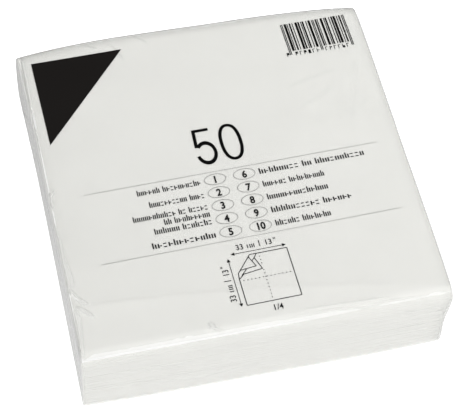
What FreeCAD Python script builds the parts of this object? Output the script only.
"""A pack of paper napkins: a stack of square napkins, each folded in four, sealed in a clear printed film.

Millimetres. The pack lies on its seam side. The origin is under its middle on the surface that it rests
on, +X runs along the printed lines, +Y towards the back and +Z up.
"""
import FreeCAD, Part
import math
import os
import Sketcher
from FreeCAD import Placement, Rotation, Vector

SIZES = (
    # the napkins
    ("napkin_count", 50, "napkins in the pack"),
    ("sheet_side", 330, "side of an open napkin"),
    ("layer_thickness", 0.175, "one layer of soft tissue, two plies"),
    ("layer_gap", 0.03, "air between the layers of one napkin"),
    ("napkin_gap", 0.035, "air between two napkins"),
    # the film
    ("film_thickness", 0.05, "wall of the film"),
    ("film_edge_radius", 0.8, "outside radius of the pack's edges"),
    ("film_slack", 0.05, "from the napkins' edges to where the film starts to turn"),
    ("seam_overlap", 14, "width of the lap seam under the pack"),
    ("flap_length", 29, "how far the end flaps and the tucks under them reach over the end"),
    # the print
    ("ink_thickness", 0.04, "layer of ink on the film"),
    ("print_turn", 1.4, "how far the print sits askew on the pack, in degrees"),
    ("patch_margin_side", 6.9, "from the pack's left edge to the dark corner patch"),
    ("patch_margin_back", 3.4, "from the pack's back edge to the dark corner patch"),
    ("patch_width", 43.9, "dark corner patch, along X"),
    ("patch_length", 48.5, "dark corner patch, along Y"),
    ("code_margin_side", 4.2, "from the pack's right edge to the bar field"),
    ("code_margin_back", 4.4, "from the pack's back edge to the bar field"),
    ("code_width", 32.5, "bar field, along X"),
    ("code_length", 17, "bar field, along Y"),
    ("code_bars", 26, "bars in the bar field"),
    ("figure_height", 21.4, "one figure of the large number"),
    ("figure_width", 10.7, "one figure of the large number"),
    ("figure_stroke", 1.8, "line of the large number"),
    ("figure_space", 1.9, "between the two figures"),
    ("figure_lift", 4, "from the upper rule to the foot of the large number"),
    ("rule_width", 0.25, "line of the two long rules"),
    ("rule_margin_left", 16.5, "from the pack's left edge to the rules"),
    ("rule_margin_right", 10.6, "from the pack's right edge to the rules"),
    ("rule_place", 1, "from the pack's middle back to the upper rule"),
    ("row_count", 5, "rows of text between the rules"),
    ("row_first", 4.2, "from the upper rule to the middle of the first row"),
    ("row_pitch", 7.2, "from row to row"),
    ("row_last", 4.5, "from the middle of the last row to the lower rule"),
    ("oval_width", 10.4, "outlined oval, along X"),
    ("oval_length", 6, "outlined oval, along Y"),
    ("oval_stroke", 0.35, "line of the ovals"),
    ("oval_space", 3.4, "between the two ovals of a row"),
    ("oval_bar", 4.6, "bar inside an oval, along X"),
    ("text_height", 1.7, "bar that stands for a line of text"),
    ("text_space", 1.6, "from an oval to the text beside it"),
    ("left_text_1", 30.3, "left line of the first row"),
    ("left_text_2", 25.9, "left line of the second row"),
    ("left_text_3", 34.8, "left line of the third row"),
    ("left_text_4", 26.8, "left line of the fourth row"),
    ("left_text_5", 29.5, "left line of the fifth row"),
    ("right_text_1", 51, "right line of the first row"),
    ("right_text_2", 29.4, "right line of the second row"),
    ("right_text_3", 29.2, "right line of the third row"),
    ("right_text_4", 38.4, "right line of the fourth row"),
    ("right_text_5", 26.3, "right line of the fifth row"),
    ("diagram_drop", 9.3, "from the lower rule to the folding diagram"),
    ("diagram_side", 24.8, "the diagram's square"),
    ("diagram_shift", 2.9, "from the pack's middle right to the diagram's middle"),
    ("diagram_stroke", 0.5, "line of the diagram"),
    ("diagram_corner", 6.5, "side of the diagram's turned corner"),
    ("diagram_dots", 10, "dots along each fold line of the diagram"),
    ("dot_length", 1, "one dot of a fold line"),
    ("arrow_space", 1.8, "from the diagram to its size arrows"),
    ("arrow_head", 1.6, "length of an arrow's head"),
    ("arrow_head_width", 1.1, "width of an arrow's head"),
    ("arrow_line", 0.25, "line of an arrow"),
    ("label_space", 2.4, "from an arrow to the bar that stands for its size"),
    ("label_width", 6, "bar that stands for a size"),
)

# Forms that are no lengths
TEXT_LINES = 5  # lengths of text in the sheet for each column; further rows begin again at the first
OVAL_SIDES = 20  # an oval is a polygon of so many sides
BOWL_SHARE = 0.54  # radius of the five's bowl in widths of the figure
BOWL_LIP = math.radians(212)  # where the bowl ends, anticlockwise from the right
TOUCHING = 1e-6  # places closer than this are one place

doc = FreeCAD.newDocument("napkin_pack")
sheet = doc.addObject("Spreadsheet::Sheet", "sizes")
for row, (alias, value, meaning) in enumerate(SIZES, 1):
    sheet.set(f"A{row}", meaning)
    sheet.set(f"B{row}", str(value))
    sheet.setAlias(f"B{row}", alias)
doc.recompute()

# Sizes that follow from the sheet, as expressions of its cells
FOLDED = "(sizes.sheet_side / 2)"
DOUBLED = "(2 * sizes.layer_thickness + sizes.layer_gap)"
THICKNESS = f"(2 * {DOUBLED} + sizes.layer_gap)"
PITCH = f"({THICKNESS} + sizes.napkin_gap)"
STACK_BOTTOM = "(2 * sizes.film_thickness + sizes.napkin_gap)"
PACK_HEIGHT = f"({STACK_BOTTOM} + sizes.napkin_count * {PITCH} + sizes.film_thickness)"
PACK_SIDE = f"({FOLDED} + 2 * sizes.film_slack + 2 * sizes.film_edge_radius)"
FLAT_SIDE = f"({PACK_SIDE} - 2 * sizes.film_edge_radius)"
FLAT_HEIGHT = f"({PACK_HEIGHT} - 2 * sizes.film_edge_radius)"


def size(expression):
    """A size from the sheet, or one that follows from it, as a number."""
    return float(sheet.evalExpression(expression if "sizes." in expression else f"sizes.{expression}"))


def bind(item, **expressions):
    """Ties properties of an object to the sheet; two underscores stand for a dot."""
    for name, expression in expressions.items():
        item.setExpression(name.replace("__", "."), expression)


def origin_plane(body, role):
    """One of a body's own origin planes."""
    return next(plane for plane in body.Origin.OriginFeatures if plane.Role == role)


# Napkins


def bound_outline(body, name, corners):
    """A closed outline on the body's YZ plane, each corner's two places bound to the sheet."""
    sketch = body.newObject("Sketcher::SketchObject", name)
    sketch.AttachmentSupport = (origin_plane(body, "YZ_Plane"), [""])
    sketch.MapMode = "FlatFace"
    points = [Vector(size(y), size(z), 0) for y, z in corners]
    for start, end in zip(points, points[1:] + points[:1]):
        sketch.addGeometry(Part.LineSegment(start, end), False)
    for side, (point, places) in enumerate(zip(points, corners)):
        sketch.addConstraint(Sketcher.Constraint("Coincident", side, 2, (side + 1) % len(points), 1))
        for kind, value, expression in zip(("DistanceX", "DistanceY"), point, places):
            index = sketch.addConstraint(Sketcher.Constraint(kind, -1, 1, side, 1, value))
            sketch.renameConstraint(index, f"{kind}_{side}")
            sketch.setExpression(f"Constraints.{kind}_{side}", expression)
    return sketch


def place_in_stack(body, number):
    """Sets a napkin's height in the stack, counted from the bottom."""
    bind(
        body,
        Placement__Base__x=f"{FOLDED} / 2",
        Placement__Base__z=f"{STACK_BOTTOM} + {THICKNESS} / 2 + {number - 1} * {PITCH}",
    )


def first_napkin():
    """A napkin folded twice: the first crease is on the left, and the second, rounded one in front.

    The air between the leaves is one slit inside the second fold, and one inside the first that
    turns with the second.
    """
    body = doc.addObject("PartDesign::Body", "napkin_01")
    body.Label = body.Name
    back = f"{FOLDED} / 2"
    front = f"-{FOLDED} / 2"
    top = f"{THICKNESS} / 2"
    block = body.newObject("PartDesign::Pad", "leaves")
    block.Profile = bound_outline(
        body, "outside", [(back, top), (front, top), (front, f"-{top}"), (back, f"-{top}")]
    )
    block.Reversed = True
    bind(block, Length=FOLDED)

    inner_fold = f"{front} + {DOUBLED}"
    inner_top = "sizes.layer_gap / 2"
    inner = body.newObject("PartDesign::Pocket", "air_in_second_fold")
    inner.Profile = bound_outline(
        body,
        "second_fold",
        [(back, inner_top), (inner_fold, inner_top), (inner_fold, f"-{inner_top}"), (back, f"-{inner_top}")],
    )
    bind(inner, Length=FOLDED)

    outer_fold = f"{front} + sizes.layer_thickness"
    outer_top = f"({THICKNESS} / 2 - sizes.layer_thickness)"
    turned_fold = f"{outer_fold} + sizes.layer_gap"
    turned_top = f"({outer_top} - sizes.layer_gap)"
    outer = body.newObject("PartDesign::Pocket", "air_in_first_fold")
    outer.Profile = bound_outline(
        body,
        "first_fold",
        [
            (back, outer_top),
            (outer_fold, outer_top),
            (outer_fold, f"-{outer_top}"),
            (back, f"-{outer_top}"),
            (back, f"-{turned_top}"),
            (turned_fold, f"-{turned_top}"),
            (turned_fold, turned_top),
            (back, turned_top),
        ],
    )
    bind(outer, Length=f"{FOLDED} - sizes.layer_thickness")
    doc.recompute()

    rounding = body.newObject("PartDesign::Fillet", "second_crease")
    half = size(back)
    creases = [
        f"Edge{number}"
        for number, edge in enumerate(outer.Shape.Edges, 1)
        if abs(edge.BoundBox.YMin + half) + abs(edge.BoundBox.YMax + half) < TOUCHING
        and abs(abs(edge.CenterOfMass.z) - size(top)) < TOUCHING
    ]
    rounding.Base = (outer, creases)
    bind(rounding, Radius=DOUBLED)
    place_in_stack(body, 1)
    return body


def napkin_like(first, number):
    """Another napkin, folded like the first."""
    body = doc.addObject("PartDesign::Body", f"napkin_{number:02d}")
    body.Label = body.Name
    body.BaseFeature = first
    place_in_stack(body, number)
    return body


# Film


def rounded_box(name, side, height, bottom, radius):
    """A square box about the Z axis: round where film is drawn over the stack, crisp at its folded ends."""
    box = doc.addObject("Part::Box", f"{name}_box")
    bind(
        box,
        Length=side,
        Width=side,
        Height=height,
        Placement__Base__x=f"-{side} / 2",
        Placement__Base__y=f"-{side} / 2",
        Placement__Base__z=bottom,
    )
    doc.recompute()
    rounded = doc.addObject("Part::Fillet", name)
    rounded.Base = box
    turn = size(radius)
    length = size(side)
    rounded.Edges = [
        (number, turn, turn)
        for number, edge in enumerate(box.Shape.Edges, 1)
        if abs(edge.BoundBox.XLength - length) < TOUCHING
    ]
    return rounded


def lap_seam():
    """The film's second layer along the seam, on the inside, so that the pack lies flat."""
    strip = doc.addObject("Part::Box", "lap_seam")
    bind(
        strip,
        Length=FLAT_SIDE,
        Width="sizes.seam_overlap",
        Height="sizes.film_thickness",
        Placement__Base__x=f"-{FLAT_SIDE} / 2",
        Placement__Base__y="-sizes.seam_overlap / 2",
        Placement__Base__z="sizes.film_thickness",
    )
    return strip


def side_tuck(name, inner_edge):
    """A side of the film's end, folded in first; one layer of film on the end wall."""
    tuck = doc.addObject("Part::Box", name)
    bind(
        tuck,
        Length="sizes.film_thickness",
        Width="sizes.flap_length",
        Height=FLAT_HEIGHT,
        Placement__Base__x=f"{PACK_SIDE} / 2",
        Placement__Base__y=inner_edge,
        Placement__Base__z="sizes.film_edge_radius",
    )
    return tuck


def end_flap(name, layers, low_inset, high_inset, bottom):
    """A flap of the film's end: a trapezium whose slanting sides are the folds over the tucks."""
    flap = doc.addObject("Part::Wedge", name)
    flap.Placement = Placement(Vector(0, 0, 0), Rotation(Vector(1, 1, 1), 120))
    bind(
        flap,
        Xmin=f"{low_inset} - {FLAT_SIDE} / 2",
        Xmax=f"{FLAT_SIDE} / 2 - {low_inset}",
        X2min=f"{high_inset} - {FLAT_SIDE} / 2",
        X2max=f"{FLAT_SIDE} / 2 - {high_inset}",
        Ymin=bottom,
        Ymax=f"{bottom} + sizes.flap_length",
        Zmin=f"{PACK_SIDE} / 2",
        Z2min=f"{PACK_SIDE} / 2",
        Zmax=f"{PACK_SIDE} / 2 + {layers} * sizes.film_thickness",
        Z2max=f"{PACK_SIDE} / 2 + {layers} * sizes.film_thickness",
    )
    return flap


def end_folds():
    """The folded and sealed end on the right: two tucks, the upper flap and over it the lower one."""
    upper_edge = f"({FLAT_HEIGHT} + sizes.film_edge_radius)"
    folds = doc.addObject("Part::MultiFuse", "end_folds")
    folds.Shapes = [
        side_tuck("front_tuck", f"-{FLAT_SIDE} / 2"),
        side_tuck("back_tuck", f"{FLAT_SIDE} / 2 - sizes.flap_length"),
        end_flap("upper_flap", 2, "sizes.flap_length", "0", f"{upper_edge} - sizes.flap_length"),
        end_flap("lower_flap", 3, "0", "sizes.flap_length", "sizes.film_edge_radius"),
    ]
    return folds


def film_wrapper():
    """The sealed film: a closed thin wall round the stack, with a lap seam below and folded ends."""
    wall = doc.addObject("Part::Cut", "film_wall")
    wall.Base = rounded_box("film_outside", PACK_SIDE, PACK_HEIGHT, "0", "film_edge_radius")
    wall.Tool = rounded_box(
        "film_inside",
        f"({PACK_SIDE} - 2 * sizes.film_thickness)",
        f"({PACK_HEIGHT} - 2 * sizes.film_thickness)",
        "sizes.film_thickness",
        "sizes.film_edge_radius - sizes.film_thickness",
    )
    right = end_folds()
    left = doc.addObject("Part::Mirroring", "left_end_folds")
    left.Source = right
    left.Normal = Vector(1, 0, 0)
    film = doc.addObject("Part::MultiFuse", "film_wrapper")
    film.Label = film.Name
    film.Shapes = [wall, lap_seam(), right, left]
    return film


# Print


def polygon(points):
    """A flat face between points given along X and Y."""
    corners = [Vector(x, y, 0) for x, y in points]
    return Part.Face(Part.makePolygon(corners + corners[:1]))


def rectangle(left, front, right, back):
    """A flat rectangle."""
    return polygon([(left, front), (right, front), (right, back), (left, back)])


def bar(middle_x, middle_y, width, length):
    """A flat rectangle about its middle."""
    across = width / 2
    along = length / 2
    return rectangle(middle_x - across, middle_y - along, middle_x + across, middle_y + along)


def inked(figure, ink):
    """The solids of one figure, whose flat faces may touch or overlap."""
    pieces = [face.extrude(ink) for face in figure.Faces]
    if len(pieces) == 1:
        return pieces
    return pieces[0].multiFuse(pieces[1:]).removeSplitter().Solids


def printed(name, figures):
    """Ink of one colour on top of the film, turned with the rest of the print."""
    ink = Vector(0, 0, size("ink_thickness"))
    layer = doc.addObject("Part::Feature", name)
    layer.Label = layer.Name
    layer.Shape = Part.makeCompound([solid for figure in figures for solid in inked(figure, ink)])
    layer.Placement = Placement(Vector(0, 0, 0), Rotation(Vector(0, 0, 1), size("print_turn")))
    bind(layer, Placement__Base__z=PACK_HEIGHT)
    return layer


def corner_patch():
    """A plain dark triangle that fills the back left corner of the print."""
    half = size(f"{PACK_SIDE} / 2")
    left = size("patch_margin_side") - half
    back = half - size("patch_margin_back")
    right = left + size("patch_width")
    front = back - size("patch_length")
    return printed("print_corner_patch", [polygon([(left, back), (left, front), (right, back)])])


def bar_field():
    """A field of upright bars in made-up widths, which encodes nothing."""
    half = size(f"{PACK_SIDE} / 2")
    back = half - size("code_margin_back")
    front = back - size("code_length")
    count = int(size("code_bars"))
    bars = [1 + (number * number // 2) % 3 for number in range(count)]
    gaps = [1 + (number * number // 3) % 3 for number in range(count - 1)] + [0]
    module = size("code_width") / (sum(bars) + sum(gaps))
    left = half - size("code_margin_side") - size("code_width")
    faces = []
    for dark, light in zip(bars, gaps):
        faces.append(rectangle(left, front, left + dark * module, back))
        left += (dark + light) * module
    return printed("print_bar_field", faces)


def nought(left, foot):
    """A nought: a ring with straight sides and half-round ends."""
    middle = left + size("figure_width") / 2

    def lozenge(inset):
        radius = size("figure_width") / 2 - inset
        low = foot + radius + inset
        high = foot + size("figure_height") - radius - inset
        left_low, left_high = (Vector(middle - radius, y, 0) for y in (low, high))
        right_low, right_high = (Vector(middle + radius, y, 0) for y in (low, high))
        edges = [
            Part.Arc(left_low, Vector(middle, low - radius, 0), right_low),
            Part.LineSegment(right_low, right_high),
            Part.Arc(right_high, Vector(middle, high + radius, 0), left_high),
            Part.LineSegment(left_high, left_low),
        ]
        return Part.Face(Part.Wire([edge.toShape() for edge in edges]))

    return lozenge(0).cut(lozenge(size("figure_stroke")))


def five(left, foot):
    """A five: a top bar, a stem and a bowl that is open on the left."""
    stroke = size("figure_stroke")
    right = left + size("figure_width")
    head = foot + size("figure_height")
    radius = size("figure_width") * BOWL_SHARE
    centre = Vector(right - radius, foot + radius, 0)
    stem_middle = left + stroke
    shoulder = centre.y + math.sqrt((radius - stroke / 2) ** 2 - (centre.x - stem_middle) ** 2)
    ring = Part.Face(Part.Wire(Part.makeCircle(radius, centre)))
    ring = ring.cut(Part.Face(Part.Wire(Part.makeCircle(radius - stroke, centre))))
    lip = Vector(math.cos(BOWL_LIP), math.sin(BOWL_LIP), 0)
    opening = [
        centre,
        centre + (Vector(stem_middle, shoulder, 0) - centre) * 2,
        centre - Vector(2 * radius, 0, 0),
        centre + lip * 2 * radius,
    ]
    bowl = ring.cut(polygon([(point.x, point.y) for point in opening]))
    stem = rectangle(stem_middle - stroke / 2, shoulder - stroke / 3, stem_middle + stroke / 2, head)
    bar_on_top = rectangle(stem_middle - stroke / 2, head - stroke, right - stroke / 2, head)
    return Part.makeCompound([bowl, stem, bar_on_top])


def large_number():
    """The number of napkins in the pack, as two thin figures."""
    foot = size("rule_place") + size("figure_lift")
    half_space = size("figure_space") / 2
    figures = [five(-half_space - size("figure_width"), foot), nought(half_space, foot)]
    return printed("print_number", figures)


def long_rules():
    """The two thin rules that frame the rows of text."""
    half = size(f"{PACK_SIDE} / 2")
    left = size("rule_margin_left") - half
    right = half - size("rule_margin_right")
    upper = size("rule_place")
    lower = upper - size("row_first") - (size("row_count") - 1) * size("row_pitch") - size("row_last")
    rules = [bar((left + right) / 2, y, right - left, size("rule_width")) for y in (upper, lower)]
    return printed("print_rules", rules)


def row_middles():
    """Where the rows of text lie along Y, from the back."""
    first = size("rule_place") - size("row_first")
    return [first - row * size("row_pitch") for row in range(int(size("row_count")))]


def oval_middles():
    """Where the left and the right oval of a row lie along X."""
    step = (size("oval_width") + size("oval_space")) / 2
    return -step, step


def oval_ring(middle_x, middle_y):
    """The thin outline of an oval."""

    def oval(inset):
        wide = size("oval_width") / 2 - inset
        long = size("oval_length") / 2 - inset
        turns = [2 * math.pi * side / OVAL_SIDES for side in range(OVAL_SIDES)]
        rim = [(middle_x + wide * math.cos(turn), middle_y + long * math.sin(turn)) for turn in turns]
        return polygon(rim)

    return oval(0).cut(oval(size("oval_stroke")))


def ovals():
    """Two columns of outlined ovals between the rules."""
    return printed("print_ovals", [oval_ring(x, y) for y in row_middles() for x in oval_middles()])


def text_bars():
    """Bars that stand for the lines of text: one in each oval and one beside it."""
    height = size("text_height")
    reach = size("oval_width") / 2 + size("text_space")
    faces = []
    for row, y in enumerate(row_middles()):
        line = row % TEXT_LINES + 1
        left, right = oval_middles()
        left_width = size(f"left_text_{line}")
        right_width = size(f"right_text_{line}")
        faces += [bar(x, y, size("oval_bar"), height) for x in (left, right)]
        faces.append(bar(left - reach - left_width / 2, y, left_width, height))
        faces.append(bar(right + reach + right_width / 2, y, right_width, height))
    return printed("print_text", faces)


def arrow(start, end):
    """A line with a head at each end."""
    along = (end - start).normalize()
    across = Vector(-along.y, along.x, 0)
    roots = (start + along * size("arrow_head"), end - along * size("arrow_head"))
    edge = across * size("arrow_line") / 2
    barb = across * size("arrow_head_width") / 2
    corners = (roots[0] - edge, roots[1] - edge, roots[1] + edge, roots[0] + edge)
    shaft = polygon([(point.x, point.y) for point in corners])
    heads = []
    for tip, root in zip((start, end), roots):
        heads.append(polygon([(point.x, point.y) for point in (tip, root - barb, root + barb)]))
    return Part.makeCompound([shaft] + heads)


def fold_diagram():
    """A square with a turned corner, dotted fold lines and an arrow along two of its sides."""
    side = size("diagram_side")
    half = side / 2
    corner = size("diagram_corner")
    stroke = size("diagram_stroke")
    rows = (size("row_count") - 1) * size("row_pitch") + size("row_first") + size("row_last")
    middle = Vector(size("diagram_shift"), size("rule_place") - rows - size("diagram_drop") - half, 0)
    turned = [(corner - half, half), (-half, half - corner)]
    field = polygon([(-half, -half), (half, -half), (half, half)] + turned)
    leaf = polygon(turned + [(corner - half, half - corner)])
    for shape in (field, leaf):
        shape.translate(middle)
    outlines = [shape.cut(shape.makeOffset2D(-stroke)) for shape in (field, leaf)]
    faces = [Part.makeCompound(outlines)]
    dots = int(size("diagram_dots"))
    for dot in range(1, dots + 1):
        place = side * dot / (dots + 1) - half
        faces.append(bar(middle.x + place, middle.y, size("dot_length"), stroke))
        faces.append(bar(middle.x, middle.y + place, stroke, size("dot_length")))
    above = half + size("arrow_space")
    faces.append(arrow(middle + Vector(-half, above, 0), middle + Vector(half, above, 0)))
    faces.append(arrow(middle + Vector(-above, -half, 0), middle + Vector(-above, half, 0)))
    label = above + size("label_space")
    faces.append(bar(middle.x, middle.y + label, size("label_width"), size("text_height")))
    faces.append(bar(middle.x - label, middle.y, size("text_height"), size("label_width")))
    return printed("print_fold_diagram", faces)


first = first_napkin()
doc.recompute()
parts = [first] + [napkin_like(first, number) for number in range(2, int(size("napkin_count")) + 1)]
parts.append(film_wrapper())
parts += [corner_patch(), bar_field(), large_number(), long_rules(), ovals(), text_bars(), fold_diagram()]
doc.recompute()

for item in doc.Objects:
    if {"Invalid", "Error"} & set(item.State):
        raise RuntimeError(f"{item.Name} is {item.State}")
for part in parts:
    if part.Shape.isNull() or not part.Shape.isValid():
        raise RuntimeError(f"{part.Label} has no valid shape")

os.makedirs("parts", exist_ok=True)
for part in parts:
    part.Shape.exportStep(f"parts/{part.Label}.step")
film = parts[int(size("napkin_count"))].Shape
print("napkin", round(first.Shape.Volume, 1), "film", round(film.Volume, 1), film.BoundBox)
